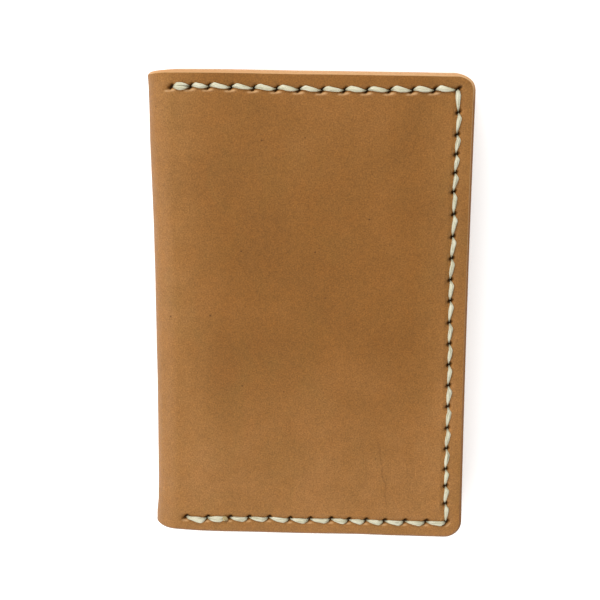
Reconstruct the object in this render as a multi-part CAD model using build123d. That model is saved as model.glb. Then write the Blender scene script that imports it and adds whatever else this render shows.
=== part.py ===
from build123d import *
import math
import os

# Vertical bifold card holder in thick vegetable-tanned leather, closed, millimetres.
# Frame: the holder lies on its back cover. +Z is up through the closed thickness,
# +Y runs to the holder's top end, +X runs to the free edges, and the fold is at -X.
# Origin: centre of the footprint, on the outer face of the back cover.

# ---- driving dimensions -------------------------------------------------------------
width = 72.0            # across X, fold to free edge, closed
height = 107.0          # along Y
thickness = 12.0        # closed, outer face to outer face
t_cover = 1.8           # cover leather
t_pocket = 1.1          # pocket leather
corner_r = 4.4          # corner radius at the free edge
r_out = thickness / 2   # outside radius of the fold
r_in = r_out - t_cover  # inside radius of the fold
lip_deg = 30.0          # part of the fold's arc that belongs to each cover
n_strips = 2            # strips of the fold between the covers
strip_gap = 0.03        # play between strips, at the outer surface

card_room = 0.9         # height of each card slot
rear_mouth_x = -31.2    # mouth of the wide pocket, at the fold side
front_mouth_x = -18.0   # mouth of the narrow pocket, staggered
seam_y = 46.5           # half height of the wide pocket's raised field
seam_x = 29.0           # free-edge side of the wide pocket's raised field
nest = 0.2              # play between the nested pockets
notch_w = 20.0          # thumb notch in each mouth
notch_d = 6.0

pitch_inset_x = 32.35   # stitch column, from the centre
row_top_y = 49.8        # top stitch row
row_bot_y = -50.1       # bottom stitch row
groove_w = 1.5          # stitching groove in the outer face
groove_d = 0.75
thread_w = 1.3
thread_t = 0.7
slit_l = 1.5            # slanted hole of the stitching chisel
slit_w = 0.55
post_l = 1.25           # threads crossing inside one hole
post_w = 0.38

# distances of the holes along each row (a 5 mm chisel, with closer holes at the corners)
top_x = [-30.27, -25.91, -21.90, -16.95, -11.94, -6.95, -1.98, 2.99, 7.87, 12.77,
         17.74, 22.61, 27.37, 32.35]
col_y = [44.95, 40.14, 35.86, 31.81, 27.63, 22.66, 17.66, 12.76, 7.84, 3.09,
         -1.92, -6.89, -11.72, -16.68, -21.64, -26.78, -31.76, -36.76, -40.86, -45.24]
bot_x = [-28.79, -23.75, -18.41, -13.89, -9.08, -4.16, 0.56, 5.52, 9.72, 13.75,
         18.08, 22.81, 27.77, 32.35]

half_h = height / 2
x_fold = -width / 2 + r_out     # X of the fold's centre line
x_free = width / 2
z_mid = thickness / 2

holes = [(x, row_top_y) for x in top_x] + [(pitch_inset_x, y) for y in col_y] \
    + [(x, row_bot_y) for x in reversed(bot_x)]


def block(x0, x1, y0, y1, z0, z1):
    return Pos((x0 + x1) / 2, (y0 + y1) / 2, (z0 + z1) / 2) * Box(x1 - x0, y1 - y0, z1 - z0)


def plate(x0, x1, hy, z0, z1, r):
    # flat piece with its two free-edge corners rounded
    sk = Plane.XY.offset(z0) * (Pos((x0 + x1) / 2, 0) * Rectangle(x1 - x0, 2 * hy))
    if r > 0:
        vs = [v for v in sk.vertices() if v.X > x1 - 0.01]
        sk = fillet(vs, r)
    return extrude(sk, amount=z1 - z0, dir=(0, 0, 1))


def arc_point(r, deg):
    a = math.radians(deg)
    return (x_fold - r * math.sin(a), z_mid - r * math.cos(a))


def arc_strip(deg0, deg1):
    # a length of the fold between two angles, measured from the back cover's tangent line
    def p(r, d):
        x, z = arc_point(r, d)
        return Vector(x, half_h, z)
    mid = (deg0 + deg1) / 2
    e1 = ThreePointArc(p(r_out, deg0), p(r_out, mid), p(r_out, deg1))
    e2 = Line(p(r_out, deg1), p(r_in, deg1))
    e3 = ThreePointArc(p(r_in, deg1), p(r_in, mid), p(r_in, deg0))
    e4 = Line(p(r_in, deg0), p(r_out, deg0))
    f = make_face([e1, e2, e3, e4])
    return extrude(f, amount=height, dir=(0, -1, 0))


def slits(slant):
    return [Pos(x, y, 2.5) * Rot(0, 0, slant) * Box(slit_l, slit_w, 4.6) for x, y in holes]


def pocket(x_mouth, z_seat, z_field, y_out, x_out):
    # sewn margin on three sides, a wall around the raised field, and the field itself
    margin = plate(x_mouth, x_free, half_h, z_seat, z_seat + t_pocket, corner_r)
    hollow = block(x_mouth - 1, x_out - t_pocket, -(y_out - t_pocket), y_out - t_pocket,
                   z_seat - 1, z_field)
    field = plate(x_mouth, x_out, y_out, z_seat, z_field + t_pocket, 3.0)
    body = (margin + field) - hollow
    notch = Pos(x_mouth, 0, z_field + t_pocket / 2) * Cylinder(1, t_pocket + 3)
    sk = Plane.XY.offset(z_seat + 0.05) * (Pos(x_mouth, 0) * Ellipse(notch_d, notch_w / 2))
    return body - extrude(sk, amount=z_field + t_pocket + 1 - z_seat, dir=(0, 0, 1))


def half(slant):
    # one cover with its two pockets and its sewing thread, built as the back half
    cover = plate(x_fold, x_free, half_h, 0, t_cover, corner_r)
    cover = cover + arc_strip(0, lip_deg - gap_deg)
    g = groove_w / 2
    top = block(top_x[0] - 0.9, pitch_inset_x + g, row_top_y - g, row_top_y + g, -0.2, groove_d)
    bot = block(bot_x[0] - 0.9, pitch_inset_x + g, row_bot_y - g, row_bot_y + g, -0.2, groove_d)
    col = block(pitch_inset_x - g, pitch_inset_x + g, row_bot_y, row_top_y, -0.2, groove_d)
    cut = slits(slant)
    rear = pocket(rear_mouth_x, t_cover, t_cover + card_room, seam_y, seam_x)
    rear = rear - cover
    front_seat = t_cover + t_pocket
    front_field = t_cover + card_room + t_pocket + card_room
    front = pocket(front_mouth_x, front_seat, front_field,
                   seam_y + nest + t_pocket, seam_x + nest + t_pocket)
    cover = cover - [top, bot, col] - cut
    rear = rear - cut
    front = front - cut

    # sewing thread: outer run in the groove, inner run on the pockets, crossing in each hole
    w = thread_w / 2
    z0 = 0.03
    z1 = z0 + thread_t
    i0 = t_cover + t_pocket + 0.02          # seat of the inner run on the wide pocket
    i1 = i0 + t_pocket                      # seat of the inner run on the narrow pocket
    step = front_mouth_x - 0.15
    parts = []
    for xs, yy in ((top_x, row_top_y), (bot_x, row_bot_y)):
        a = xs[0] - 0.6
        parts.append(block(a, pitch_inset_x + w, yy - w, yy + w, z0, z1))
        parts.append(block(a, step, yy - w, yy + w, i0, i0 + thread_t))
        parts.append(block(step - thread_t, step, yy - w, yy + w, i0, i1 + thread_t))
        parts.append(block(step - thread_t, pitch_inset_x + w, yy - w, yy + w, i1, i1 + thread_t))
    parts.append(block(pitch_inset_x - w, pitch_inset_x + w, row_bot_y, row_top_y, z0, z1))
    parts.append(block(pitch_inset_x - w, pitch_inset_x + w, row_bot_y, row_top_y, i1, i1 + thread_t))
    posts = []
    for x, y in holes:
        zt = (i0 if x < step else i1) + 0.3
        zb = 0.4
        posts.append(Pos(x, y, (zb + zt) / 2) * Rot(0, 0, slant) * Box(post_l, post_w, zt - zb))
    thread = parts[0] + parts[1:] + posts
    return cover, rear, front, thread


gap_deg = math.degrees(strip_gap / 2 / r_out)
mirror_plane = Plane.XY.offset(z_mid)

os.makedirs("parts", exist_ok=True)


def save(name, shape):
    sols = shape.solids()
    out = sols[0] if len(sols) == 1 else Compound(children=list(sols))
    out.label = name
    export_step(out, "parts/" + name + ".step")


back = half(-45)
front = [mirror(s, about=mirror_plane) for s in half(45)]
names = ("cover", "pocket_wide", "pocket_narrow", "stitching")
for side, group in (("back", back), ("front", front)):
    for nm, s in zip(names, group):
        save(side + "_" + nm, s)

span = (180 - 2 * lip_deg) / n_strips
for k in range(n_strips):
    d0 = lip_deg + k * span + gap_deg
    d1 = lip_deg + (k + 1) * span - gap_deg
    save("spine_strip_%d" % (k + 1), arc_strip(d0, d1))
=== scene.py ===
import bpy
import math
import numpy as np
from mathutils import Matrix, Vector
from mathutils.geometry import delaunay_2d_cdt


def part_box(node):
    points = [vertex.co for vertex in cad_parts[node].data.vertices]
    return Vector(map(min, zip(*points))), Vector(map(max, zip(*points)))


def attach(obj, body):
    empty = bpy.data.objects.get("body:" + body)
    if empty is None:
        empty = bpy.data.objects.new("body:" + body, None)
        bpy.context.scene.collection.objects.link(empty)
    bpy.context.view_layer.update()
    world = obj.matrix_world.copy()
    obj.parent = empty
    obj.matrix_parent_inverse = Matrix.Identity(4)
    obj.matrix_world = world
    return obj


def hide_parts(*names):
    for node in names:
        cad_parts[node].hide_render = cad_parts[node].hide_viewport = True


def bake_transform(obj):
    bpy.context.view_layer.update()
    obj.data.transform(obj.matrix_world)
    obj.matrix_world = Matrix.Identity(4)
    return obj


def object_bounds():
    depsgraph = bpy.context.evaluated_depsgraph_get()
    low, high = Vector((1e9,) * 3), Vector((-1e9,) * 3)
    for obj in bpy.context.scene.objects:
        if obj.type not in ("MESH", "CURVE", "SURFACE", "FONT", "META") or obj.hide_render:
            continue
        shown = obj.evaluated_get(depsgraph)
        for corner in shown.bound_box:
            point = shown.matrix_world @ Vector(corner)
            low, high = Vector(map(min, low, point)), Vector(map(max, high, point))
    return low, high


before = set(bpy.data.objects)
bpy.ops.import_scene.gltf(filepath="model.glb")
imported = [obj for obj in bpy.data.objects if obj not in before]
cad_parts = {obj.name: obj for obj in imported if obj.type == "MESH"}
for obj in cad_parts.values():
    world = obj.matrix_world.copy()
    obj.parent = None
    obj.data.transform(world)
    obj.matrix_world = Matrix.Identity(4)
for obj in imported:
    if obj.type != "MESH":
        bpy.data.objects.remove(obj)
cad_lo, cad_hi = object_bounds()

# ---------------------------------------------------------------- sizes, in millimetres
MM = 0.001


def box_mm(node):
    lo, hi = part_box(node)
    return np.array(lo) / MM, np.array(hi) / MM


XF = float(cad_hi.x) / MM            # free edges
H2 = float(cad_hi.y) / MM            # half height
TT = float(cad_hi.z) / MM            # closed thickness
R = TT / 2                           # outside radius of the fold
X0 = -XF + R                         # centre line of the fold
ZM = TT / 2
RC = 4.1                             # corner radius at the free edges
pw_lo, pw_hi = box_mm("back_pocket_wide")
pn_lo, pn_hi = box_mm("back_pocket_narrow")
st_lo, st_hi = box_mm("back_stitching")
TC = float(pw_lo[2])                 # cover leather
TP = 1.1                             # pocket leather
MOUTH_W = float(pw_lo[0])
MOUTH_N = float(pn_lo[0])
ROW_TOP = float(st_hi[1]) - 0.65
ROW_BOT = float(st_lo[1]) + 0.65
COL_X = float(st_hi[0]) - 0.65
RAISE_W = float(pw_hi[2]) - TC - TP
RAISE_N = float(pn_hi[2]) - TC - 2 * TP
RX = R + 0.45                        # the fold bulges a little further than a true half round
STEP = R * math.radians(2.5)         # sampling around the fold
U_PANEL = X0 - 9 * STEP              # where the stiff panels give way to the bending fold

rng = np.random.default_rng(4711)


def smooth(t):
    t = np.clip(t, 0, 1)
    return t * t * (3 - 2 * t)


# ---------------------------------------------------------------- placing points
LEFT_Y = [-53.5, -51, -49.8, -47.5, -42.7, -35.7, -23.9, -12, 0, 11.5, 23.3, 32.7, 39.8, 44.5, 50, 53.5]
LEFT_DX = [-.24, -.25, -.13, .10, .18, .19, .08, .12, .09, .08, -.02, -.07, -.14, -.06, -.04, -.20]
TOP_X = [-36, -20, -15, -9, -2, 4, 11, 17, 24, 29, 36]
TOP_DY = [.22, .22, .17, .07, -.03, -.06, -.13, -.20, -.26, -.36, -.37]
BOT_X = [-36, -30, -26, -20, -15, -9, -2, 5, 12, 19, 31, 36]
BOT_DY = [0.0, -.05, -.22, -.24, -.15, -.12, -.09, .01, .14, .06, .08, .10]


def warp(p):
    """The closed holder's hand-made outline: a slight waist, with the leather flaring at the ends of the fold."""
    g = 1 - (p[:, 1] / H2) ** 2
    fl = smooth((-24 - p[:, 0]) / 12)
    fr = np.clip((p[:, 0] - 10) / 26, 0, 1)
    q = p.copy()
    q[:, 0] += (0.51 * g + np.interp(p[:, 1], LEFT_Y, LEFT_DX)) * fl - 0.29 * g * fr
    q[:, 1] += np.interp(p[:, 0], TOP_X, TOP_DY) * smooth((p[:, 1] - 50.8) / 2.4)
    q[:, 1] += np.interp(p[:, 0], BOT_X, BOT_DY) * smooth((-p[:, 1] - 50.8) / 2.4)
    return q


def place_cover(u, y, d):
    """Flat pattern (u along the sheet from the front's free edge, y, depth from the outside) to space."""
    u, y, d = np.broadcast_arrays(np.asarray(u, float), np.asarray(y, float), np.asarray(d, float))
    th = (X0 - u) / R
    a = np.clip(th, 0, math.pi)
    sa = np.sin(a)
    x = X0 - (RX - d) * sa
    z = ZM + (R - d) * np.cos(a)
    # thick leather draws its ends in where it is bent
    y = y - np.sign(y) * np.where(y > 0, 0.66, 0.14) * sa ** 2.6 * smooth((np.abs(y) - (H2 - 10)) / 10)
    x = np.where(th < 0, u, x)
    back = th > math.pi
    x = np.where(back, X0 + (th - math.pi) * R, x)
    return warp(np.stack([x, y, z], 1))


def u_back(x):
    return X0 - math.pi * R - (np.asarray(x, float) - X0)


def waves(u, y):
    """Low unevenness of the hide, in millimetres."""
    return (0.035 * np.sin(u * 0.21 + 1.3 + 0.7 * np.sin(y * 0.06)) * np.cos(y * 0.13 + 0.4)
            + 0.028 * np.sin(u * 0.10 - y * 0.17 + 2.1) + 0.02 * np.cos(u * 0.33 + y * 0.29)
            + 0.012 * np.sin(u * 0.71 + 0.4) * np.sin(y * 0.53 + 1.1))


# ---------------------------------------------------------------- stitch holes
TOP = [(-30.48, .29), (-26.13, .40), (-22.11, .40), (-17.16, .27), (-12.16, .09), (-7.17, -.04), (-2.19, -.16),
       (2.78, -.28), (7.67, -.25), (12.57, -.25), (17.54, -.24), (22.41, -.21), (27.19, -.12), (32.15, -.02)]
COL = [(44.95, .09), (40.14, .02), (35.87, -.02), (31.82, -.11), (27.65, -.29), (22.68, -.08), (17.69, -.15),
       (12.79, -.24), (7.88, -.40), (3.14, -.26), (-1.87, -.29), (-6.82, -.19), (-11.65, -.14), (-16.58, -.15),
       (-21.53, -.12), (-26.67, -.15), (-31.62, -.22), (-36.61, -.28), (-40.69, -.23), (-45.06, -.22)]
BOT = [(32.45, .50), (27.63, .35), (22.67, .31), (17.95, .23), (13.62, .30), (9.60, .27), (5.40, .31), (0.44, .15),
       (-4.27, .07), (-9.18, .24), (-13.98, .09), (-18.49, -.06), (-23.82, -.23), (-28.85, -.21)]
HOLES_F = np.array([(x, ROW_TOP + dy) for x, dy in TOP] + [(COL_X + dx, y) for y, dx in COL]
                   + [(x, ROW_BOT + dy) for x, dy in BOT])
# the back is sewn the same way, seen from its own outside
HOLES_B = HOLES_F.copy()
HOLES_B[:, 1] = np.where(HOLES_B[:, 1] > 47, ROW_TOP - 0.1, np.where(HOLES_B[:, 1] < -47, ROW_BOT + 0.1, HOLES_B[:, 1]))
HOLES_B += rng.normal(0, 0.07, HOLES_B.shape)


def seg_dist(px, py, holes):
    best = np.full(px.shape, 1e9)
    for a, b in zip(holes[:-1], holes[1:]):
        e = b - a
        t = np.clip(((px - a[0]) * e[0] + (py - a[1]) * e[1]) / (e @ e), 0, 1)
        best = np.minimum(best, np.hypot(px - a[0] - t * e[0], py - a[1] - t * e[1]))
    return best


def hole_axis(i, n, slant):
    """Direction of the chisel slit at a hole: the same slant for every hole."""
    ang = 45 * slant
    return math.cos(math.radians(ang)), math.sin(math.radians(ang))


def dents(x, y, holes, slant, depth, groove, hole_shade_lip_light=None):
    """How far the surface is pulled in along the seam, in millimetres. The last argument collects the painted shade in
    the holes and the painted highlight on the lips below them.
    """
    q = seg_dist(x, y, holes)
    d = groove * np.exp(-(q / 0.85) ** 2) - 0.02 * np.exp(-((q - 1.7) / 0.6) ** 2)
    n = len(holes)
    for i, (hx, hy) in enumerate(holes):
        m = (np.abs(x - hx) < 3.0) & (np.abs(y - hy) < 3.0)
        if not m.any():
            continue
        cx, cy = hole_axis(i, n, slant)
        px, py = x[m] - hx, y[m] - hy
        a = px * cx + py * cy
        b = -px * cy + py * cx
        # the thread's pull dishes the leather around each hole, more on the inner side
        t = holes[min(i + 1, n - 1)] - holes[max(i - 1, 0)]
        t = t / np.hypot(*t)
        row = t[0] * np.sign(slant)
        d[m] += depth * (0.86 if row < -0.5 else 1.0) * np.exp(-(np.abs(a) / (0.74 if abs(t[1]) > 0.9 else 0.92)) ** 4 - (np.abs(b) / 0.40) ** 2.6)
        al = px * t[0] + py * t[1]
        la = (-px * t[1] + py * t[0]) * (1 if slant > 0 else -1)
        d[m] += (0.22 if abs(t[1]) > 0.9 else 0.30) * np.exp(-((al + 0.15) / 1.25) ** 2 - ((la + 0.25) / 0.80) ** 2)
        d[m] -= 0.13 * np.exp(-((al + 0.3) / 1.3) ** 2 - ((la + 1.22) / 0.34) ** 2)
        # painted shade in the slit and a painted highlight on the lip below it
        if hole_shade_lip_light is not None:
            turn = abs(t[0] * t[1]) > 0.2
            if turn:
                # a corner hole points out to the corner
                sg = 1.0 if (hx + hy * np.sign(slant) > 0) == (slant > 0) else -1.0
                dark = np.exp(-(np.abs(a - 0.28 * sg) / 1.0) ** 4 - (np.abs(b) / 0.27) ** 2)
            else:
                dark = (0.80 if row < -0.5 else 0.97) * np.exp(-(np.abs(a) / (0.51 + 0.21 * abs(t[0]))) ** 4 - (np.abs(b) / 0.36) ** 2.5)
            dark = np.maximum(dark, 0.8 * np.exp(-(np.hypot(al, la) / 0.42) ** 3))
            # painted highlight on the lip under the hole, the wall that faces the light: on the inner side of the top
            # row, on the outer side of the bottom row
            if row < -0.5:
                lip_light = 0.74 * np.exp(-(np.abs(al - 0.10) / 0.85) ** 3 - (np.abs(la - 0.74) / 0.24) ** 2.5)
            else:
                lip_light = np.exp(-(np.abs(al + 0.14) / 1.22) ** 3 - (np.abs(la + 0.77 - 0.12 * al) / 0.26) ** 2.5)
            mk = hole_shade_lip_light[m]
            hole_shade_lip_light[m] = np.where(dark > 0.22, np.maximum(mk, dark), np.where(mk > 0.20, mk, np.minimum(mk, -lip_light * lip_light_k(t))))
    return d


def lip_light_k(t):
    """The painted highlight on the lips shows most on the rows across the holder, less down the column."""
    return 0.30 + 0.70 * abs(t[0])


# ---------------------------------------------------------------- sheet builder
def add_object(name, verts, faces, pat, mat, flat=()):
    me = bpy.data.meshes.new(name)
    v = np.asarray(verts, float) * MM
    me.from_pydata(v.tolist(), [], [tuple(int(i) for i in f) for f in faces])
    me.update()
    at = me.attributes.new("pat", "FLOAT_VECTOR", "POINT")
    at.data.foreach_set("vector", np.asarray(pat, np.float32).ravel())
    me.polygons.foreach_set("use_smooth", [True] * len(me.polygons))
    for i in flat:
        me.polygons[i].use_smooth = False
    ob = bpy.data.objects.new(name, me)
    bpy.context.scene.collection.objects.link(ob)
    me.materials.append(mat)
    return ob


def tri_fill(loop, inside):
    pts = np.concatenate([loop, inside]) if len(inside) else np.asarray(loop)
    n = len(loop)
    res = delaunay_2d_cdt([Vector((float(a), float(b))) for a, b in pts], [(i, (i + 1) % n) for i in range(n)],
                          [], 1, 1e-7)
    vs, _, fs, ov = res[0], res[1], res[2], res[3]
    if len(vs) != len(pts):
        raise RuntimeError("fill made %d points from %d" % (len(vs), len(pts)))
    back = [o[0] for o in ov]
    return [tuple(back[i] for i in f) for f in fs]


BEVEL_E = np.array([0.64, 0.58, 0.52, 0.42, 0.29, 0.17, 0.07, 0.02, 0.0])
BEVEL_D = np.array([0.0, 0.012, 0.05, 0.15, 0.28, 0.40, 0.52, 0.61, 0.74])
ROUND_A = np.radians([90, 72, 54, 36, 18, 0])


def sheet_solid(name, outline, inner_a, inner_b, t, ro, ri, place, disp, mat, rim=None):
    """A closed sheet: outline rows are (u, y, nu, ny, is_cap); inner_a and inner_b are the points on its two faces.
    ro is a rounding radius for each row, or None for the cover's bevelled edge."""
    O = np.asarray(outline, float)
    n = len(O)
    ri = np.broadcast_to(np.asarray(ri, float), (n,))
    rings = []
    if ro is None:
        rings += [(np.full(n, e), np.full(n, d)) for e, d in zip(BEVEL_E, BEVEL_D)]
    else:
        ro = np.broadcast_to(np.asarray(ro, float), (n,))
        rings = [(ro * (1 - np.cos(a)), ro * (1 - np.sin(a))) for a in ROUND_A]
    for a in np.radians([90, 60, 30, 0])[::-1]:
        rings.append((ri * (1 - np.cos(a)), t - ri * (1 - np.sin(a))))
    U, Y, D = [], [], []
    for e, d in rings:
        U.append(O[:, 0] - e * O[:, 2])
        Y.append(O[:, 1] - e * O[:, 3])
        D.append(d)
    k = len(rings)
    loop_a = np.stack([U[0], Y[0]], 1)
    loop_b = np.stack([U[-1], Y[-1]], 1)
    fa = tri_fill(loop_a, inner_a)
    fb = tri_fill(loop_b, inner_b)
    na, nb = len(inner_a), len(inner_b)
    base_a = k * n
    base_b = k * n + na
    faces = []
    for f in fa:
        faces.append([i if i < n else base_a + i - n for i in f])
    last = (k - 1) * n
    for f in fb:
        faces.append([last + i if i < n else base_b + i - n for i in reversed(f)])
    flat = []
    for j in range(k - 1):
        for i in range(n):
            i2 = (i + 1) % n
            if O[i, 4] and O[i2, 4]:
                flat.append(len(faces))
            faces.append([j * n + i, (j + 1) * n + i, (j + 1) * n + i2, j * n + i2])
    u = np.concatenate(U + ([inner_a[:, 0]] if na else []) + ([inner_b[:, 0]] if nb else []))
    y = np.concatenate(Y + ([inner_a[:, 1]] if na else []) + ([inner_b[:, 1]] if nb else []))
    d = np.concatenate(D + [np.zeros(na), np.full(nb, t)])
    hole_shade_lip_light = np.zeros(len(u))
    v = place(u, y, d, disp(u, y, d, hole_shade_lip_light))
    tri = np.array([f[:3] for f in faces] + [[f[0], f[2], f[3]] for f in faces if len(f) == 4])
    vol = np.einsum("ij,ij->i", v[tri[:, 0]], np.cross(v[tri[:, 1]], v[tri[:, 2]])).sum()
    if vol < 0:
        faces = [list(reversed(f)) for f in faces]
    ob = add_object(name, v, faces, np.stack([u, y, d], 1), mat, flat)
    at = ob.data.attributes.new("hole_shade_lip_light", "FLOAT", "POINT")
    at.data.foreach_set("value", (hole_shade_lip_light * (d < 0.3)).astype(np.float32))
    if rim is not None:
        # both sides of a cut get the same normals, so the leather reads as one sheet
        cap = np.where(O[:, 4] > 0)[0]
        nrm = np.zeros((len(v), 3))
        for j in range(k):
            for i in cap:
                end = O[i, 3] != 0
                if not (j in (0, k - 1) or end):
                    continue
                uu, yy, dd = U[j][i], Y[j][i], D[j][i]
                h = 0.02
                t1 = rim(uu + h, yy, dd) - rim(uu - h, yy, dd)
                if end and 0 < j < k - 1:
                    t2 = rim(uu, Y[j + 1][i], D[j + 1][i]) - rim(uu, Y[j - 1][i], D[j - 1][i])
                else:
                    t2 = rim(uu, yy + h, dd) - rim(uu, yy - h, dd)
                nn = np.cross(t1, t2)
                nn /= np.linalg.norm(nn)
                out = rim(uu, yy, dd) - rim(uu, yy - 2.0 * O[i, 3], t / 2)
                nrm[j * n + i] = nn if nn @ out > 0 else -nn
        me = ob.data
        vi = np.empty(len(me.loops), np.int32)
        me.loops.foreach_get("vertex_index", vi)
        cnt = np.empty(len(me.polygons), np.int32)
        me.polygons.foreach_get("loop_total", cnt)
        sm = np.empty(len(me.polygons), bool)
        me.polygons.foreach_get("use_smooth", sm)
        ln = nrm[vi] * np.repeat(sm, cnt)[:, None]
        me.normals_split_custom_set(ln.tolist())
    return ob


def run(p0, p1, step, nx, ny, cap=0, ends=(True, False)):
    L = math.hypot(p1[0] - p0[0], p1[1] - p0[1])
    k = max(1, int(round(L / step)))
    out = []
    for i in range(k + 1):
        if (i == 0 and not ends[0]) or (i == k and not ends[1]):
            continue
        t = i / k
        out.append((p0[0] + t * (p1[0] - p0[0]), p0[1] + t * (p1[1] - p0[1]), nx, ny, cap))
    return out


def corner(cx, cy, r, a0, a1, k=14):
    out = []
    for i in range(k + 1):
        a = math.radians(a0 + (a1 - a0) * i / k)
        out.append((cx + r * math.cos(a), cy + r * math.sin(a), math.cos(a), math.sin(a), 0))
    return out


CAP_Y = np.linspace(-H2, H2, 37)


def cap_rows(u, sign, ends=True):
    """Points on a cut across the sheet, from one long edge to the other: the end points slide in y only."""
    ys = CAP_Y if sign > 0 else CAP_Y[::-1]
    rows = []
    for i, yy in enumerate(ys):
        ny = 0.0
        if i == 0 or i == len(ys) - 1:
            ny = math.copysign(1.0, yy)
        rows.append((u, yy, 0.0, ny, 1))
    return rows


def free_outline(x0, x1):
    """Outline of a panel from a cut at x0 to the free edge at x1 with its two rounded corners, anticlockwise."""
    rows = run((x0 + 0.7, -H2), (x1 - RC, -H2), 0.8, 0, -1, 0, (True, False))
    rows += corner(x1 - RC, -H2 + RC, RC, -90, 0)
    rows += run((x1, -H2 + RC), (x1, H2 - RC), 0.8, 1, 0, 0, (False, False))
    rows += corner(x1 - RC, H2 - RC, RC, 0, 90)
    rows += run((x1 - RC, H2), (x0 + 0.7, H2), 0.8, 0, 1, 0, (False, True))
    rows += [r for r in cap_rows(x0, -1)]
    return rows


def inside_panel(x, y, x0, x1, m):
    ok = (x > x0 + m) & (x < x1 - m) & (np.abs(y) < H2 - m)
    cx, cy = x - (x1 - RC), np.abs(y) - (H2 - RC)
    out = (cx > 0) & (cy > 0) & (np.hypot(cx, cy) > RC - m)
    return ok & ~out


def hexgrid(x0, x1, y0, y1, s):
    r = s * math.sqrt(3) / 2
    ys = np.arange(y0, y1, r)
    xs = np.arange(x0, x1, s)
    X, Y = np.meshgrid(xs, ys)
    X = X + (np.arange(len(ys)) % 2)[:, None] * s / 2
    return X.ravel(), Y.ravel()


def panel_points(x0, x1, holes, fine, mid, coarse, m, keep=None, arc=False):
    out = []
    q_f, q_m = 1.75, 3.1
    for s, a, b in ((fine, -1, q_f), (mid, q_f + 0.12, q_m), (coarse, q_m + 0.35, 1e9)):
        X, Y = hexgrid(x0, x1, -H2, H2, s)
        q = seg_dist(X, Y, holes)
        ok = (inside_panel(X, Y, x0 - 5, x1, m + s * 0.5) & (q > a) & (q <= b)
              & (X > x0 + (0.14 if arc else m + s * 0.5)))
        if arc and s != fine:
            ok &= X > X0 + 1.9
        if keep is not None:
            ok &= keep(X, Y, s)
        out.append(np.stack([X[ok], Y[ok]], 1))
    if arc:
        xs = np.concatenate([x0 + STEP * np.arange(1, 10), X0 + np.array([0.4, 0.9, 1.5])])
        X, Y = np.meshgrid(xs, np.arange(-H2 + 1.5, H2 - 1.4, 1.33))
        X, Y = X.ravel(), Y.ravel()
        q = seg_dist(X, Y, holes)
        ok = q > q_f + 0.2
        out.append(np.stack([X[ok], Y[ok]], 1))
    return np.concatenate(out)


def coarse_points(x0, x1, s, m):
    X, Y = hexgrid(x0, x1, -H2, H2, s)
    ok = inside_panel(X, Y, x0, x1, m + s * 0.4)
    return np.stack([X[ok], Y[ok]], 1)


# ---------------------------------------------------------------- materials
def new_mat(name):
    m = bpy.data.materials.new(name)
    m.use_nodes = True
    nt = m.node_tree
    for nd in list(nt.nodes):
        nt.nodes.remove(nd)
    out = nt.nodes.new("ShaderNodeOutputMaterial")
    bs = nt.nodes.new("ShaderNodeBsdfPrincipled")
    nt.links.new(bs.outputs["BSDF"], out.inputs["Surface"])
    return m, nt, bs


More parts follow.
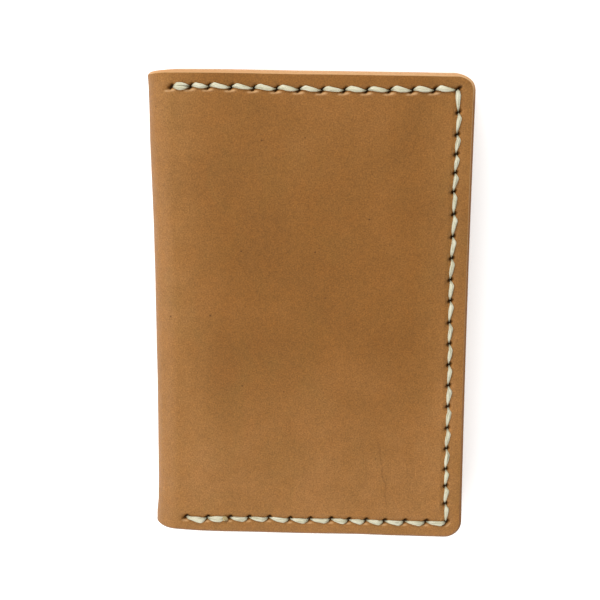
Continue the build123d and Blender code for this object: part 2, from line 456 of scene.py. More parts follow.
class NT:
    def __init__(self, nt):
        self.nt = nt

    def attr(self, name):
        n = self.nt.nodes.new("ShaderNodeAttribute")
        n.attribute_type = "GEOMETRY"
        n.attribute_name = name
        return n.outputs["Vector"]

    def scale(self, vec, s):
        n = self.nt.nodes.new("ShaderNodeVectorMath")
        n.operation = "MULTIPLY"
        self.nt.links.new(vec, n.inputs[0])
        n.inputs[1].default_value = s if hasattr(s, "__len__") else (s, s, s)
        return n.outputs[0]

    def noise(self, vec, scale, detail=3, rough=0.5, dist=0.0):
        n = self.nt.nodes.new("ShaderNodeTexNoise")
        n.noise_dimensions = "3D"
        n.inputs["Scale"].default_value = scale
        n.inputs["Detail"].default_value = detail
        n.inputs["Roughness"].default_value = rough
        n.inputs["Distortion"].default_value = dist
        self.nt.links.new(vec, n.inputs["Vector"])
        return n.outputs["Fac"]

    def voronoi(self, vec, scale, feature="F1", rand=1.0):
        n = self.nt.nodes.new("ShaderNodeTexVoronoi")
        n.feature = feature
        n.inputs["Scale"].default_value = scale
        n.inputs["Randomness"].default_value = rand
        self.nt.links.new(vec, n.inputs["Vector"])
        return n

    def ramp(self, fac, stops, interp="LINEAR"):
        n = self.nt.nodes.new("ShaderNodeValToRGB")
        n.color_ramp.interpolation = interp
        els = n.color_ramp.elements
        while len(els) < len(stops):
            els.new(0.5)
        for e, (p, c) in zip(els, stops):
            e.position = p
            e.color = (c[0], c[1], c[2], 1) if hasattr(c, "__len__") else (c, c, c, 1)
        self.nt.links.new(fac, n.inputs["Fac"])
        return n.outputs["Color"]

    def mapr(self, v, a, b, c, d):
        n = self.nt.nodes.new("ShaderNodeMapRange")
        n.clamp = True
        self.nt.links.new(v, n.inputs["Value"])
        n.inputs["From Min"].default_value = a
        n.inputs["From Max"].default_value = b
        n.inputs["To Min"].default_value = c
        n.inputs["To Max"].default_value = d
        return n.outputs["Result"]

    def math(self, op, a, b=None):
        n = self.nt.nodes.new("ShaderNodeMath")
        n.operation = op
        for i, v in enumerate((a, b)):
            if v is None:
                continue
            if isinstance(v, (int, float)):
                n.inputs[i].default_value = v
            else:
                self.nt.links.new(v, n.inputs[i])
        return n.outputs[0]

    def mix(self, fac, a, b, blend="MIX"):
        n = self.nt.nodes.new("ShaderNodeMix")
        n.data_type = "RGBA"
        n.blend_type = blend
        n.clamp_factor = True
        sock = {s.identifier: s for s in n.inputs}
        for key, v in (("Factor_Float", fac), ("A_Color", a), ("B_Color", b)):
            s = sock[key]
            if isinstance(v, (int, float)):
                s.default_value = v
            elif isinstance(v, tuple):
                s.default_value = (v[0], v[1], v[2], 1)
            else:
                self.nt.links.new(v, s)
        return {s.identifier: s for s in n.outputs}["Result_Color"]

    def sep(self, vec):
        n = self.nt.nodes.new("ShaderNodeSeparateXYZ")
        self.nt.links.new(vec, n.inputs[0])
        return n.outputs

    def bump(self, height, dist, strength, normal=None):
        n = self.nt.nodes.new("ShaderNodeBump")
        n.inputs["Strength"].default_value = strength
        n.inputs["Distance"].default_value = dist
        self.nt.links.new(height, n.inputs["Height"])
        if normal is not None:
            self.nt.links.new(normal, n.inputs["Normal"])
        return n.outputs["Normal"]


def leather(name, dark, mid, light, edge, raw, flesh, thick, seed, cover):
    m, nt, bs = new_mat(name)
    k = NT(nt)
    pat = k.attr("pat")
    sh = nt.nodes.new("ShaderNodeVectorMath")
    sh.operation = "ADD"
    nt.links.new(pat, sh.inputs[0])
    sh.inputs[1].default_value = (seed * 31.7, seed * 17.3, seed * 5.1)
    p = sh.outputs[0]
    xyz = k.sep(pat)
    # cloudy tone of a natural hide
    cloud = k.noise(p, 0.045, 4, 0.55, 0.5)
    tone = k.ramp(cloud, [(0.34, dark), (0.50, mid), (0.68, light)], "EASE")
    patch = k.noise(p, 0.17, 3, 0.6, 0.3)
    tone = k.mix(k.mapr(patch, 0.40, 0.70, 0.0, 0.30), tone, (mid[0] * 1.10, mid[1] * 0.98, mid[2] * 0.78), "MIX")
    olive = k.noise(k.scale(p, (1.0, 0.7, 1.0)), 0.10, 4, 0.6, 0.8)
    tone = k.mix(k.mapr(olive, 0.52, 0.72, 0.0, 0.35), tone, (mid[0] * 0.90, mid[1] * 1.02, mid[2] * 1.02), "MIX")
    if cover:
        # paler along the fold, partly stretched leather and partly painted light from the left; paler towards the free
        # edges as a painted sheen; paler towards the bottom and the top; darker just outside the top seam as painted
        # shade
        far = k.math("ABSOLUTE", k.math("ADD", xyz[0], math.pi * R / 2 - X0))
        fold = k.mapr(far, 9.0, 22.0, 1.0, 0.0)
        fold = k.math("POWER", fold, 1.6)
        free = k.mapr(far, 63.0, 73.0, 0.0, 0.75)
        low = k.mapr(xyz[1], -8.0, -52.0, 0.0, 0.90)
        high = k.math("SUBTRACT", k.mapr(xyz[1], 18.0, 48.0, 0.0, 0.26), k.mapr(xyz[1], 50.2, 51.4, 0.0, 0.36))
        pale_and_painted_light = k.math("ADD", k.math("ADD", fold, free), k.math("ADD", low, high))
        pale_and_painted_light = k.math("MULTIPLY", pale_and_painted_light, k.mapr(k.noise(p, 0.13, 3, 0.55), 0.25, 0.75, 0.80, 1.20))
        pale_and_painted_light = k.math("MINIMUM", pale_and_painted_light, 1.12)
        lifted = k.mix(1.0, tone, (1.28, 1.42, 2.08), "MULTIPLY")
        tone = k.mix(pale_and_painted_light, tone, lifted, "MIX")
    # fine speckle of the grain
    speck = k.noise(p, 3.3, 2, 0.6)
    tone = k.mix(0.60, tone, k.ramp(speck, [(0.28, (0.60, 0.55, 0.50)), (0.5, (1.0, 1.0, 1.0)), (0.72, (1.50, 1.50, 1.55))]), "MULTIPLY")
    speck2 = k.noise(k.scale(p, (1.0, 1.0, 0.3)), 0.95, 3, 0.6)
    tone = k.mix(0.30, tone, k.ramp(speck2, [(0.28, (0.74, 0.76, 0.72)), (0.5, (1.0, 1.0, 1.0)), (0.72, (1.24, 1.20, 1.2))]), "MULTIPLY")
    # hair pores and small marks: dark dots, only in a few cells
    vor = k.voronoi(p, 0.42)
    dot = k.mapr(vor.outputs["Distance"], 0.06, 0.115, 1.0, 0.0)
    pick = k.math("GREATER_THAN", k.sep(vor.outputs["Color"])[0], 0.90)
    tone = k.mix(k.math("MULTIPLY", k.math("MULTIPLY", dot, pick), 0.72), tone, (dark[0] * 0.35, dark[1] * 0.30, dark[2] * 0.3), "MIX")
    vor2 = k.voronoi(p, 1.15)
    dot2 = k.mapr(vor2.outputs["Distance"], 0.08, 0.20, 1.0, 0.0)
    pick2 = k.math("GREATER_THAN", k.sep(vor2.outputs["Color"])[1], 0.86)
    tone = k.mix(k.math("MULTIPLY", k.math("MULTIPLY", dot2, pick2), 0.34), tone, (dark[0] * 0.45, dark[1] * 0.40, dark[2] * 0.4), "MIX")
    # handling scratches, nearly along the fold
    wob = k.noise(k.scale(p, (1.0, 0.25, 1.0)), 0.5, 2, 0.5)
    lines = k.scale(p, (0.34, 0.018, 0.2))
    sc = k.noise(lines, 1.0, 3, 0.5, 0.15)
    hair = k.mapr(k.math("ABSOLUTE", k.math("SUBTRACT", sc, 0.5)), 0.0, 0.006, 1.0, 0.0)
    hair = k.math("MULTIPLY", hair, k.mapr(wob, 0.48, 0.62, 0.0, 0.16))
    if cover:
        run_ = k.math("SUBTRACT", xyz[0], k.math("MULTIPLY", k.math("ADD", xyz[1], 29.0), -0.16))
        run_ = k.math("ABSOLUTE", k.math("SUBTRACT", run_, k.mapr(k.noise(p, 0.16, 2, 0.5), 0.2, 0.8, 15.2, 17.0)))
        one = k.math("MULTIPLY", k.mapr(run_, 0.06, 0.28, 1.0, 0.0), k.mapr(xyz[1], -27.0, -32.0, 0.0, 1.0))
        one = k.math("MULTIPLY", one, k.mapr(xyz[1], -48.0, -45.0, 0.0, 0.26))
        hair = k.math("ADD", hair, one)
    tone = k.mix(hair, tone, (dark[0] * 0.5, dark[1] * 0.45, dark[2] * 0.5), "MIX")
    # cut edges and the flesh side
    depth = xyz[2]
    fibre = k.noise(k.scale(p, (0.8, 0.8, 4.5)), 1.1, 4, 0.7)
    shaded_edge_col = k.mix(k.mapr(fibre, 0.3, 0.7, 0.0, 1.0), edge, (edge[0] * 0.66, edge[1] * 0.56, edge[2] * 0.5), "MIX")
    raw_col = k.mix(k.mapr(fibre, 0.3, 0.7, 0.0, 1.0), raw, (raw[0] * 0.84, raw[1] * 0.70, raw[2] * 0.56), "MIX")
    tan = k.mapr(k.math("ADD", xyz[0], k.math("MULTIPLY", k.noise(p, 0.2, 3, 0.6), 22.0)), -20.0, 22.0, 0.85, 0.0)
    raw_col = k.mix(tan, raw_col, (raw[0] * 0.84, raw[1] * 0.66, raw[2] * 0.48), "MIX")
    # painted shade on the cut edges: the top edge takes the pale cut colour, the side and bottom edges, which face away
    # from the light, the darker edge colour
    top = k.mapr(xyz[1], H2 - 6.5, H2 - 2.0, 0.0, 1.0)
    # the bevel is lightest by the face and darker further down
    raw_col = k.mix(k.mapr(depth, 0.12, 0.60, 0.0, 0.75), raw_col, (raw[0] * 0.86, raw[1] * 0.70, raw[2] * 0.56), "MIX")
    cut_col = k.mix(top, shaded_edge_col, raw_col, "MIX")
    tone = k.mix(k.mapr(depth, 0.015, 0.06, 0.0, 1.0), tone, cut_col, "MIX")
    # painted highlight along the crease where the face meets the bevel, fading towards the bottom of the holder
    crease_highlight = k.math("MULTIPLY", k.mapr(depth, 0.002, 0.02, 0.0, 1.0), k.mapr(depth, 0.08, 0.20, 0.62, 0.0))
    crease_highlight = k.math("MULTIPLY", crease_highlight, k.mapr(xyz[1], -45.0, 30.0, 0.12, 1.0))
    tone = k.mix(crease_highlight, tone, (raw[0] * 0.9, raw[1] * 0.85, raw[2] * 0.75), "MIX")
    mk = nt.nodes.new("ShaderNodeAttribute")
    mk.attribute_type = "GEOMETRY"
    mk.attribute_name = "hole_shade_lip_light"
    # painted shade in the stitch holes and a painted highlight on the lips below them
    tone = k.mix(k.mapr(mk.outputs["Fac"], 0.12, 0.95, 0.0, 0.92), tone, (0.040, 0.019, 0.008), "MIX")
    tone = k.mix(k.mapr(mk.outputs["Fac"], -0.12, -0.80, 0.0, 0.82), tone, (raw[0] * 0.94, raw[1] * 0.89, raw[2] * 0.80), "MIX")
    fuzz = k.noise(p, 2.2, 5, 0.8)
    flesh_col = k.mix(k.mapr(fuzz, 0.36, 0.64, 0, 1), flesh, (flesh[0] * 0.66, flesh[1] * 0.60, flesh[2] * 0.52), "MIX")
    nap = k.noise(k.scale(p, (0.5, 0.22, 1.0)), 0.6, 3, 0.6, 0.8)
    flesh_col = k.mix(k.mapr(nap, 0.42, 0.66, 0.0, 0.5), flesh_col, (flesh[0] * 0.80, flesh[1] * 0.70, flesh[2] * 0.60), "MIX")
    crease = k.noise(k.scale(p, (1.5, 0.10, 0.5)), 0.8, 3, 0.55, 0.35)
    crease = k.mapr(k.math("ABSOLUTE", k.math("SUBTRACT", crease, 0.5)), 0.0, 0.05, 1.0, 0.0)
    flesh_col = k.mix(k.math("MULTIPLY", crease, 0.30), flesh_col, (flesh[0] * 0.48, flesh[1] * 0.40, flesh[2] * 0.32), "MIX")
    f = k.mapr(depth, thick - 0.10, thick - 0.03, 0.0, 1.0)
    tone = k.mix(f, tone, flesh_col, "MIX")
    nt.links.new(tone, bs.inputs["Base Color"])
    rough = k.mapr(k.noise(p, 0.5, 4, 0.6), 0.25, 0.8, 0.48, 0.62)
    rough = k.math("ADD", rough, k.math("MULTIPLY", f, 0.30))
    nt.links.new(rough, bs.inputs["Roughness"])
    bs.inputs["Specular IOR Level"].default_value = 0.24
    # grain: fine cells with a softer wave under them
    cell = k.voronoi(p, 2.4, "SMOOTH_F1")
    n1 = k.bump(cell.outputs["Distance"], 0.00005, 0.45)
    n2 = k.bump(speck, 0.00008, 0.55, n1)
    n3 = k.bump(k.noise(p, 0.42, 3, 0.5), 0.00016, 0.5, n2)
    rough_side = k.math("MULTIPLY", f, k.math("SUBTRACT", fuzz, k.math("MULTIPLY", crease, 0.35)))
    n4 = k.bump(rough_side, 0.00030, 0.8, n3)
    nt.links.new(n4, bs.inputs["Normal"])
    return m


def thread_mat(name, col, shade, seed):
    m, nt, bs = new_mat(name)
    k = NT(nt)
    pat = k.attr("pat")
    tip = nt.nodes.new("ShaderNodeAttribute")
    tip.attribute_type = "GEOMETRY"
    tip.attribute_name = "tip"
    # pat for a thread: along, around, stitch number
    fib = k.noise(k.scale(pat, (0.40, 3.6, 1.0)), 1.0, 4, 0.6)
    tone = k.ramp(fib, [(0.36, shade), (0.47, col), (0.62, (min(1, col[0] * 1.14), min(1, col[1] * 1.14), min(1, col[2] * 1.18)))])
    blot = k.noise(k.scale(pat, (0.35, 0.4, 2.3)), 1.0, 2, 0.5)
    tone = k.mix(k.mapr(blot, 0.35, 0.75, 0.0, 0.5), tone, (col[0] * 0.86, col[1] * 0.85, col[2] * 0.70), "MIX")
    tone = k.mix(k.math("MULTIPLY", tip.outputs["Fac"], 0.85), tone, (shade[0] * 0.62, shade[1] * 0.62, shade[2] * 0.50), "MIX")
    nt.links.new(tone, bs.inputs["Base Color"])
    rough = k.mapr(fib, 0.3, 0.7, 0.62, 0.46)
    nt.links.new(rough, bs.inputs["Roughness"])
    bs.inputs["Specular IOR Level"].default_value = 0.35
    bs.inputs["Sheen Weight"].default_value = 0.12
    bs.inputs["Sheen Roughness"].default_value = 0.5
    n1 = k.bump(fib, 0.00018, 1.0)
    nt.links.new(n1, bs.inputs["Normal"])
    return m


cover_mat = leather("cover_leather", (0.217, 0.088, 0.0150), (0.236, 0.0965, 0.0168), (0.259, 0.1065, 0.0205),
                    (0.290, 0.124, 0.028), (0.60, 0.37, 0.185), (0.40, 0.24, 0.125), TC, 1, True)
pocket_mat = leather("pocket_leather", (0.248, 0.103, 0.020), (0.274, 0.115, 0.024), (0.304, 0.131, 0.030),
                     (0.300, 0.132, 0.036), (0.56, 0.35, 0.19), (0.41, 0.25, 0.135), TP, 2, False)
linen = thread_mat("linen_thread", (0.626, 0.604, 0.458), (0.32, 0.300, 0.200), 1)

# ---------------------------------------------------------------- the cover: two panels and three pieces around the fold
RI_PANEL, RI_FOLD = 0.15, 0.45


def cover_place(u, y, d, dd):
    return place_cover(u, y, d + dd * (1 - d / TC))


def back_place(x, y, d, dd):
    return place_cover(u_back(x), y, d + dd * (1 - d / TC))


def fade(x):
    return np.clip((x - U_PANEL - 0.05) / 0.30, 0, 1)


def disp_front(x, y, d, hole_shade_lip_light=None):
    # slightly crowned inside the seam, rolling off outside it
    roll = 0.10 * smooth((x - COL_X - 1) / 2.6) + 0.08 * smooth((np.abs(y) - 51) / 2.4)
    return waves_all(x, y, d) + fade(x) * (dents(x, y, HOLES_F, 1, 1.15, 0.12, hole_shade_lip_light) + roll)


def disp_back(x, y, d, hole_shade_lip_light=None):
    return waves_all(u_back(x), y, d) + fade(x) * dents(x, y, HOLES_B, -1, 1.15, 0.12, hole_shade_lip_light)


def panel(name, holes, disp, place, mat):
    rows = free_outline(U_PANEL, XF)
    O = np.array(rows)
    ri = RI_FOLD + (RI_PANEL - RI_FOLD) * smooth((O[:, 0] - U_PANEL) / 5.0)
    pa = panel_points(U_PANEL, XF, holes, 0.17, 0.5, 1.9, 0.9, arc=True)
    pb = coarse_points(X0 + 1.0, XF, 4.0, 0.6)
    X, Y = np.meshgrid(np.concatenate([U_PANEL + STEP * np.arange(1, 10), X0 + np.array([0.5, 1.2])]), CAP_Y[1:-1])
    pb = np.concatenate([pb[pb[:, 0] > X0 + 2.5], np.stack([X.ravel(), Y.ravel()], 1)])
    u_of = (lambda u: u) if place is cover_place else (lambda x: u_back(x))
    return sheet_solid(name, rows, pa, pb, TC, None, ri, place, disp, mat, rim=lambda x, y, d: skin(u_of(x), y, d))


def waves_all(u, y, d, hole_shade_lip_light=None):
    # the back panel's unevenness is gentler, so the fold eases from one to the other
    t = smooth((X0 - u) / (math.pi * R))
    return waves(u, y) * (1 - 0.4 * t) + 0.05 * t


def skin(u, y, d):
    """The plain cover surface at one point of its pattern."""
    a = [np.array([float(c)]) for c in (u, y, d)]
    return cover_place(a[0], a[1], a[2], waves_all(*a))[0]


front_panel = panel("cover_front_panel", HOLES_F, disp_front, cover_place, cover_mat)
back_panel = panel("cover_back_panel", HOLES_B, disp_back, back_place, cover_mat)


def fold_piece(name, u1, u0, mat):
    """Part of the sheet between two cuts, u0 nearer the front's free edge."""
    k = max(2, int(round((u0 - u1) / STEP)))
    us = np.linspace(u1, u0, k + 1)
    rows = [(u, -H2, 0.0, -1.0, 0) for u in us[1:-1]]
    rows += [r for r in cap_rows(u0, 1)]
    rows += [(u, H2, 0.0, 1.0, 0) for u in us[1:-1][::-1]]
    rows += [r for r in cap_rows(u1, -1)]
    ys = CAP_Y[1:-1]
    X, Y = np.meshgrid(us[1:-1], ys)
    ins = np.stack([X.ravel(), Y.ravel()], 1)
    return sheet_solid(name, rows, ins, ins.copy(), TC, None, RI_FOLD, cover_place, waves_all, mat, rim=skin)


U_A = X0 - R * math.radians(60)       # middle of the strip next to the front
U_B = X0 - R * math.radians(120)      # middle of the strip next to the back
U_C = X0 - math.pi * R + 9 * STEP     # where the back panel begins
fold_c = fold_piece("cover_fold_front", U_A, U_PANEL, cover_mat)
fold_b = fold_piece("cover_fold_middle", U_B, U_A, cover_mat)
fold_a = fold_piece("cover_fold_back", U_C, U_B, cover_mat)

# ---------------------------------------------------------------- card pockets
NOTCH_W, NOTCH_D = 20.0, 6.0


def mouth_rows(xm):
    """The mouth edge from top to bottom with its shallow thumb notch."""
    ys = np.concatenate([np.arange(H2 - 0.7, NOTCH_W / 2 + 3.0, -1.2), np.linspace(NOTCH_W / 2 + 2.5, -NOTCH_W / 2 - 2.5, 61),
                         -np.arange(H2 - 0.7, NOTCH_W / 2 + 3.0, -1.2)])
    ys = np.unique(np.round(ys, 4))[::-1]
    rho = ((NOTCH_W / 2) ** 2 + NOTCH_D ** 2) / (2 * NOTCH_D)
    yy = np.arange(-16, 16.01, 0.05)
    arc = np.maximum(np.sqrt(np.maximum(rho ** 2 - yy ** 2, 0)) - (rho - NOTCH_D), 0)
    kern = np.exp(-np.linspace(-3, 3, 61) ** 2)
    arc = np.convolve(arc, kern / kern.sum(), mode="same")
    x = xm + np.interp(np.abs(ys), yy, arc) * (np.abs(ys) < 14)
    tx, ty = np.gradient(x), np.gradient(ys)
    L = np.hypot(tx, ty)
    nx, ny = ty / L, -tx / L     # outward: towards -x
    rows = []
    for i in range(len(ys)):
        if nx[i] > 0:
            rows.append((x[i], ys[i], -nx[i], -ny[i], 0))
        else:
            rows.append((x[i], ys[i], nx[i], ny[i], 0))
    return rows, x, ys


def pocket_outline(xm):
    rows = run((xm + 0.7, -H2), (XF - RC, -H2), 0.9, 0, -1, 0, (True, False))
    rows += corner(XF - RC, -H2 + RC, RC, -90, 0)
    rows += run((XF, -H2 + RC), (XF, H2 - RC), 0.9, 1, 0, 0, (False, False))
    rows += corner(XF - RC, H2 - RC, RC, 0, 90)
    rows += run((XF - RC, H2), (xm + 0.7, H2), 0.9, 0, 1, 0, (False, True))
    m, mx, my = mouth_rows(xm)
    # small rounded corners where the mouth meets the long edges
    s = math.sqrt(0.5)
    rows += [(xm + 0.3, H2 - 0.08, -0.38, 0.92, 0), (xm + 0.08, H2 - 0.3, -0.92, 0.38, 0)]
    rows += m
    rows += [(xm + 0.08, -H2 + 0.3, -0.92, -0.38, 0), (xm + 0.3, -H2 + 0.08, -0.38, -0.92, 0)]
    return rows, mx, my


def ramp_field(x, y, y0, y1, x0, x1):
    return smooth((y0 - np.abs(y)) / (y0 - y1)) * smooth((x0 - x) / (x0 - x1))


def pocket(name, side, xm, seat, amount, holes, slant, shift, mat, fine):
    rows, mx, my = pocket_outline(xm)
    o = np.argsort(my)

    def mouth_x(y):
        return np.interp(y, my[o], mx[o])

    def raise_(x, y):
        f = ramp_field(x, y, 48.5 - shift, 45.0 - shift, 31.1 - shift, 27.4 - shift)
        gape = 0.22 * np.exp(-((x - xm) / 5.0) ** 2) * smooth((44 - np.abs(y)) / 20)
        return amount * f + gape * f + 0.05 * np.sin(x * 0.16 + y * 0.07 + seat) * f

    def disp(x, y, d, hole_shade_lip_light=None):
        crease = 0.10 * np.exp(-((x - mouth_x(y) - 2.0) / 0.28) ** 2) * smooth((46 - np.abs(y)) / 1.0)
        return crease + dents(x, y, holes, slant, 0.75, 0.16, hole_shade_lip_light) + 0.4 * waves(x + 40, y)

    def place(x, y, d, dd):
        # d = 0 is the visible grain side, facing the middle of the holder
        h = seat + TP - d + raise_(x, y) - dd * (1 - d / TP)
        low = np.maximum(h, seat + 0.01)
        z = low if side == "back" else TT - low
        return warp(np.stack([np.asarray(x, float), np.asarray(y, float), z], 1))

    def keep(X, Y, s):
        return X > mouth_x(Y) + 0.35 + s * 0.5

    ps = panel_points(xm, XF, holes, fine, 0.6, 1.7, 0.45, keep)
    X, Y = hexgrid(xm, xm + 9.0, -47, 47, 0.42)
    band = (X > mouth_x(Y) + 1.0) & (X < mouth_x(Y) + 3.0)
    extra = np.stack([X[band], Y[band]], 1)
    far = ~((ps[:, 0] > mouth_x(ps[:, 1]) + 0.9) & (ps[:, 0] < mouth_x(ps[:, 1]) + 3.15) & (np.abs(ps[:, 1]) < 47.2))
    pa = np.concatenate([ps[far], extra])
    pb = coarse_points(xm, XF, 2.2, 0.6)
    pb = pb[pb[:, 0] > mouth_x(pb[:, 1]) + 1.2]
    O = np.array(rows)
    is_mouth = O[:, 2] < -0.3
    ro = np.where(is_mouth, 0.38, 0.30)
    ri = np.where(is_mouth, 0.30, 0.12)
    return sheet_solid(name, rows, pa, pb, TP, ro, ri, place, disp, mat)


pockets = {}
for side, holes, slant in (("back", HOLES_B, -1), ("front", HOLES_F, 1)):
    pockets[side, "wide"] = pocket("pocket_wide_" + side, side, MOUTH_W, TC, RAISE_W, holes, slant, 0.0, pocket_mat, 0.30)
    pockets[side, "narrow"] = pocket("pocket_narrow_" + side, side, MOUTH_N, TC + TP, RAISE_N, holes, slant, 0.0, pocket_mat, 0.24)


# ---------------------------------------------------------------- sewing thread
LAT_C = [0, .10, .25, .50, .75, .90, 1]
LAT_V = [.05, .24, .38, .16, -.02, -.09, -.06]
WID_V = [.13, .38, .65, .58, .43, .24, .13]
THK_V = [.14, .26, .40, .40, .33, .20, .13]
FINE = np.linspace(-0.2, 1.2, 281)


def table(vals, c):
    """A smooth curve through a short table of values."""
    f = np.interp(FINE, LAT_C, vals)
    k = np.hanning(25)
    g = np.convolve(f, k / k.sum(), mode="same")
    g[:13], g[-13:] = f[:13], f[-13:]
    return np.interp(c, FINE, g)


def stitch(A, B, e2s, rnd, wide=1.0, lat0=0.0, start=0.22, stop=0.24, top=0.26, dip=-0.80, slant=1.0, nseg=28, nring=36,
           strands=6, thick=1.0, blunt=0.0, tail=0.0):
    """One visible length of thread from hole A to hole B: a fat lens that swells just after it comes up and tapers to its end.
    Returns points as (x, y, height over the leather), faces, pattern coordinates and nearness to its ends."""
    A, B = np.array(A, float), np.array(B, float)
    e1 = B - A
    L = np.hypot(*e1)
    e1 = e1 / L
    e2 = np.array([-e1[1], e1[0]]) * e2s
    s = np.linspace(0, 1, nseg + 1)
    c = (1 - np.cos(s * math.pi)) / 2 * 0.4 + s * 0.6
    along = start + (L - start - stop) * c
    lat = slant * table(LAT_V, c) + lat0 * np.sin(math.pi * np.clip(c * 0.8 + 0.1, 0, 1))
    lat = lat + 0.035 * np.exp(-((c - 0.27 - 0.06 * (rnd[1] - 0.5)) / 0.08) ** 2)
    w = wide * np.maximum(table(WID_V, c), np.where(c < 0.45, blunt * smooth(c / 0.06), tail * smooth((1 - c) / 0.07))) * (1 + 0.06 * np.sin(c * 8 + rnd[0] * 6))
    t = thick * table(THK_V, c)
    lift = np.clip(np.sin(np.clip(c, 0, 1) * math.pi), 0, 1) ** 0.42
    h = dip + (top - dip - t * 0.4) * lift
    P = A[None] + along[:, None] * e1[None] + lat[:, None] * e2[None]
    dP = np.gradient(np.concatenate([P, h[:, None] * 0.6], 1), axis=0)
    dP /= np.linalg.norm(dP, axis=1)[:, None]
    side_v = np.stack([-dP[:, 1], dP[:, 0], np.zeros(len(s))], 1)
    side_v /= np.linalg.norm(side_v, axis=1)[:, None]
    up = np.cross(side_v, dP)
    up *= np.where(up[:, 2:3] < 0, -1.0, 1.0)
    ang = np.linspace(0, 2 * math.pi, nring, endpoint=False)
    V, PT, TP_ = [], [], []
    for i in range(len(s)):
        tw = ang * strands + c[i] * 3.4 + rnd[1] * 6
        r = 1 - 0.13 * np.abs(np.sin(tw / 2)) ** 6 + 0.03 * np.sin(ang * 3 - c[i] * 5 + rnd[2] * 6) \
            + 0.03 * np.sin(ang * 11 + c[i] * 2 + rnd[0] * 9)
        ca, sa = np.cos(ang), np.sin(ang)
        off = (ca * w[i] * r)[:, None] * side_v[i][None] + (sa * t[i] * r)[:, None] * up[i][None]
        V.append(np.concatenate([P[i], [h[i]]])[None] + off)
        PT.append(np.stack([np.full(nring, along[i]), tw / (2 * math.pi) / strands * 4.0, np.full(nring, rnd[0] * 50)], 1))
        TP_.append(np.full(nring, np.clip(max(0.16 - c[i], c[i] - 0.80) / 0.17, 0, 1) ** 1.0))
    V = np.concatenate(V)
    PT = np.concatenate(PT)
    TP_ = np.concatenate(TP_)
    F = []
    for i in range(nseg):
        for j in range(nring):
            j2 = (j + 1) % nring
            F.append([i * nring + j, i * nring + j2, (i + 1) * nring + j2, (i + 1) * nring + j])
    n0, n1 = len(V), len(V) + 1
    V = np.concatenate([V, [V[:nring].mean(0)], [V[nseg * nring:(nseg + 1) * nring].mean(0)]])
    PT = np.concatenate([PT, [PT[0]], [PT[-2]]])
    TP_ = np.concatenate([TP_, [1.0, 1.0]])
    for j in range(nring):
        j2 = (j + 1) % nring
        F.append([n0, j2, j])
        F.append([n1, nseg * nring + j, nseg * nring + j2])
    return V, F, PT, TP_


def blob(c, r, rnd, n=14, m=20):
    """The melted, flattened end of the thread."""
    V, F, PT = [], [], []
    for i in range(n + 1):
        th = math.pi * i / n
        for j in range(m):
            ph = 2 * math.pi * j / m
            k = 1 + 0.10 * math.sin(3 * ph + rnd[0] * 6) * math.sin(th) + 0.07 * math.cos(5 * th + ph * 2)
            V.append((c[0] + r[0] * k * math.sin(th) * math.cos(ph), c[1] + r[1] * k * math.sin(th) * math.sin(ph),
                      c[2] + r[2] * k * math.cos(th)))
            PT.append((th, ph * 0.6, 77.0))
    for i in range(n):
        for j in range(m):
            j2 = (j + 1) % m
            F.append([i * m + j, (i + 1) * m + j, (i + 1) * m + j2, i * m + j2])
    return np.array(V), F, np.array(PT)


def gather(parts):
    V, F, P, T, b = [], [], [], [], 0
    for v, f, p, t in parts:
        V.append(v)
        P.append(p)
        T.append(t)
        F += [[i + b for i in q] for q in f]
        b += len(v)
    return np.concatenate(V), F, np.concatenate(P), np.concatenate(T)


def fix_winding(V, F):
    tri = np.array([f[:3] for f in F] + [[f[0], f[2], f[3]] for f in F if len(f) == 4])
    vol = np.einsum("ij,ij->i", V[tri[:, 0]], np.cross(V[tri[:, 1]], V[tri[:, 2]])).sum()
    return [list(reversed(f)) for f in F] if vol < 0 else F


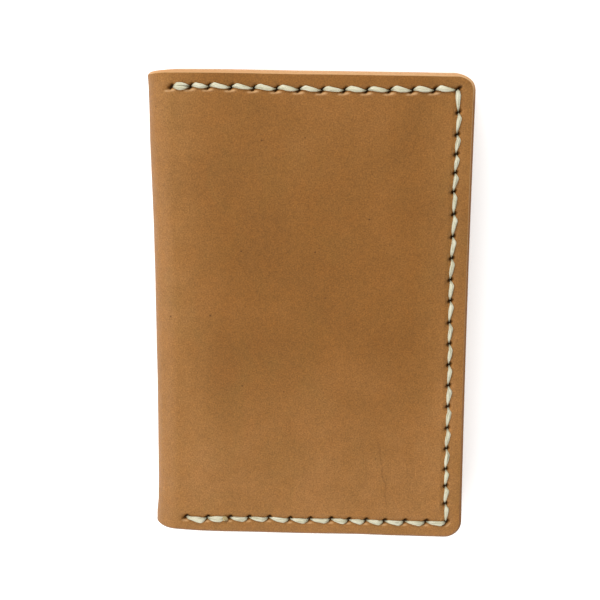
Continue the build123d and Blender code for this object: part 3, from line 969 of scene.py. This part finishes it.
def sew(holes, face, mirror_x):
    """Stitches over all holes of one face, in that face's own outside view, where the holes run clockwise."""
    H = holes.copy()
    if mirror_x:
        H[:, 0] *= -1
        H = H[::-1]
    parts = []
    r = np.random.default_rng(99 if face == "outer" else 7)
    n = len(H)
    for i in range(n - 1):
        rnd = r.random(4)
        wide = 0.97 + 0.14 * (rnd[3] - 0.5)
        front = not mirror_x
        if face == "inner":
            parts.append(stitch(H[i], H[i + 1], 1, rnd, wide, 0.0, 0.28, 0.30, 0.22, -0.7, slant=0.7, nseg=22, nring=24))
        elif front and i == 0:
            # the first stitch is doubled
            parts.append(stitch(H[i], H[i + 1], 1, rnd, 0.66, 0.46, 0.62, 0.26, 0.26, slant=0.22, strands=4, blunt=0.36))
            parts.append(stitch(H[i], H[i + 1], 1, r.random(4), 0.78, -0.34, 0.48, 0.38, 0.32, slant=0.22, strands=4, blunt=0.40))
        elif front and i == 1:
            parts.append(stitch(H[i], H[i + 1], 1, rnd, 0.92, 0.0, 0.30, 0.1, 0.20, slant=0.7))
        elif front and i == 12:
            # the last of the top row stops short of the corner hole
            parts.append(stitch(H[i], H[i + 1], 1, rnd, 1.0, 0.02, 0.25, 0.62, 0.24, -0.2, slant=0.9, tail=0.30))
        elif front and i == 13:
            # straight first stitch of the column, starting above the corner hole's end
            parts.append(stitch(H[i] + (0, 0.15), H[i + 1], 1, rnd, 0.88, -0.06, 0.18, 0.25, 0.28, -0.2, slant=0.12, blunt=0.54))
        elif front and i == n - 3:
            parts.append(stitch(H[i], H[i + 1], 1, rnd, 0.70, -0.24, 1.0, 0.2, 0.30, slant=0.15, strands=4, blunt=0.5, tail=0.34))
            parts.append(stitch(H[i], H[i + 1], 1, r.random(4), 0.76, 0.34, 1.05, 0.25, 0.34, slant=0.15, strands=4, blunt=0.5))
        elif front and i == n - 2:
            parts.append(stitch(H[i], H[i + 1], 1, rnd, 1.10, 0.10, 0.15, 0.22, 0.32, slant=0.95, tail=0.42))
        else:
            k = 0.9 if abs(H[i + 1][1] - H[i][1]) > 2 else 1.0
            low = H[i + 1][0] < H[i][0] - 2
            flat = H[i + 1][0] > H[i][0] + 2
            parts.append(stitch(H[i], H[i + 1], 1, rnd, wide * (0.94 if low or flat else 0.84), slant=k * (0.72 if low else 0.90),
                                blunt=0.42 if low else 0.34, tail=0.22))
    return gather(parts)


def inner_seat(x):
    """Height of the leather that the inner run lies on: it steps up at the narrow pocket's mouth."""
    return TC + TP + TP * smooth((x - (MOUTH_N - 1.2)) / 1.6)


def add_tip(ob, tip):
    at = ob.data.attributes.new("tip", "FLOAT", "POINT")
    at.data.foreach_set("value", np.asarray(tip, np.float32))


def make_thread(name, holes, side, face, mat):
    outside_mirror = (side == "back") == (face == "outer")
    V, F, P, T = sew(holes, face, outside_mirror)
    x = -V[:, 0] if outside_mirror else V[:, 0]
    y, h = V[:, 1], V[:, 2]
    if face == "outer":
        if side == "front":
            p = place_cover(x, y, -h + 0.06)
        else:
            p = place_cover(u_back(x), y, -h + 0.30)
    else:
        z = inner_seat(x) + h
        p = warp(np.stack([x, y, z if side == "back" else TT - z], 1))
    F = fix_winding(p, F)
    ob = add_object(name, p, F, P, mat)
    add_tip(ob, T)
    return ob


threads = {}
for side, holes in (("front", HOLES_F), ("back", HOLES_B)):
    for face in ("outer", "inner"):
        threads[side, face] = make_thread("thread_%s_%s" % (side, face), holes, side, face, linen)

# the thread's melted end, by the last but one stitch of the bottom row
tip_mat = thread_mat("thread_end", (0.42, 0.33, 0.16), (0.22, 0.15, 0.06), 2)
a, b = HOLES_F[-3], HOLES_F[-2]
c = a + (b - a) * 0.17
bv, bf, bp = blob((c[0], c[1] - 0.06, 0.02), (0.62, 0.62, 0.34), (0.3,))
bpz = place_cover(bv[:, 0], bv[:, 1], -bv[:, 2])
thread_tip = add_object("thread_front_end", bpz, fix_winding(bpz, bf), bp, tip_mat)
add_tip(thread_tip, np.zeros(len(bv)))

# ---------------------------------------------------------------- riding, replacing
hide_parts("front_cover")
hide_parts("back_cover")
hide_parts("spine_strip_1", "spine_strip_2")
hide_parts("back_pocket_wide")
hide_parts("back_pocket_narrow")
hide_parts("front_pocket_wide")
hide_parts("front_pocket_narrow")
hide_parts("back_stitching")
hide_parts("front_stitching")
for ob in (front_panel, pockets["front", "wide"], pockets["front", "narrow"], threads["front", "outer"],
           threads["front", "inner"], thread_tip):
    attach(ob, "front")
for ob in (back_panel, pockets["back", "wide"], pockets["back", "narrow"], threads["back", "outer"],
           threads["back", "inner"]):
    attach(ob, "back")


def fold_points(phi_deg, t0, t1):
    """Two points on the chord through a hinge, phi from the back cover, t0 and t1 millimetres along it."""
    a = math.radians(phi_deg)
    dx, dz = -math.cos(a), math.sin(a)
    cx, cz = X0 - R * math.sin(a), ZM - R * math.cos(a)
    return [(((cx + t * dx) * MM), 0.0, ((cz + t * dz) * MM)) for t in (t0, t1)]


s, e = fold_points(30, -0.65, 1.6)
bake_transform(fold_a)
s, e = fold_points(90, -1.7, 1.7)
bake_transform(fold_b)
s, e = fold_points(150, -1.6, 0.65)
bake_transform(fold_c)

# ---------------------------------------------------------------- floor, lights, camera
fm, nt, bs = new_mat("floor_white")
k = NT(nt)
tc = nt.nodes.new("ShaderNodeTexCoord")
fn = k.noise(tc.outputs["Object"], 6.0, 3, 0.5)
nt.links.new(k.ramp(fn, [(0.3, 0.93), (0.7, 0.955)]), bs.inputs["Base Color"])
bs.inputs["Roughness"].default_value = 0.85
bs.inputs["Specular IOR Level"].default_value = 0.1
bs.inputs["Emission Color"].default_value = (1, 1, 1, 1)
bs.inputs["Emission Strength"].default_value = 0.38
me = bpy.data.meshes.new("floor")
s = 3.0
me.from_pydata([(-s, -s, 0), (s, -s, 0), (s, s, 0), (-s, s, 0)], [], [(0, 1, 2, 3)])
me.materials.append(fm)
floor = bpy.data.objects.new("floor", me)
floor.location = (0, 0, -0.0004)
bpy.context.scene.collection.objects.link(floor)

world = bpy.data.worlds.new("studio")
bpy.context.scene.world = world
world.use_nodes = True
bg = world.node_tree.nodes["Background"]
bg.inputs["Color"].default_value = (1.0, 0.995, 0.98, 1)
bg.inputs["Strength"].default_value = 0.60


def area(name, loc, target, size, power, color=(1, 1, 1)):
    ld = bpy.data.lights.new(name, "AREA")
    ld.shape = "RECTANGLE"
    ld.size, ld.size_y = size
    ld.energy = power
    ld.color = color
    ob = bpy.data.objects.new(name, ld)
    ob.location = loc
    d = Vector(target) - Vector(loc)
    ob.rotation_mode = "QUATERNION"
    ob.rotation_quaternion = d.to_track_quat("-Z", "Y")
    bpy.context.scene.collection.objects.link(ob)
    return ob


area("key_top", (-0.14, 0.62, 0.36), (0, 0, 0), (0.5, 0.35), 3.6, (1.0, 0.99, 0.97))
area("fill_left", (-0.50, -0.16, 0.34), (0, -0.02, 0), (0.35, 0.4), 1.5)
area("fill_low", (-0.02, -0.30, 0.24), (0, -0.06, 0), (0.2, 0.16), 0.30)

cam_d = bpy.data.cameras.new("camera")
cam = bpy.data.objects.new("camera", cam_d)
bpy.context.scene.collection.objects.link(cam)
cx = Vector((0.9975921, 0.0033773, -0.0692715))
cy = Vector((-0.0176623, 0.9782524, -0.2066644))
cz = Vector((0.0670671, 0.2073903, 0.9759566))
cam.matrix_world = Matrix(((cx.x, cy.x, cz.x, 0.016091857), (cx.y, cy.y, cz.y, 0.058366336),
                           (cx.z, cy.z, cz.z, 0.273388848), (0, 0, 0, 1)))
cam_d.sensor_width = 36.0
cam_d.lens = 71.2028
cam_d.clip_start, cam_d.clip_end = 0.01, 20
bpy.context.scene.camera = cam
bpy.context.scene.view_settings.view_transform = "Standard"
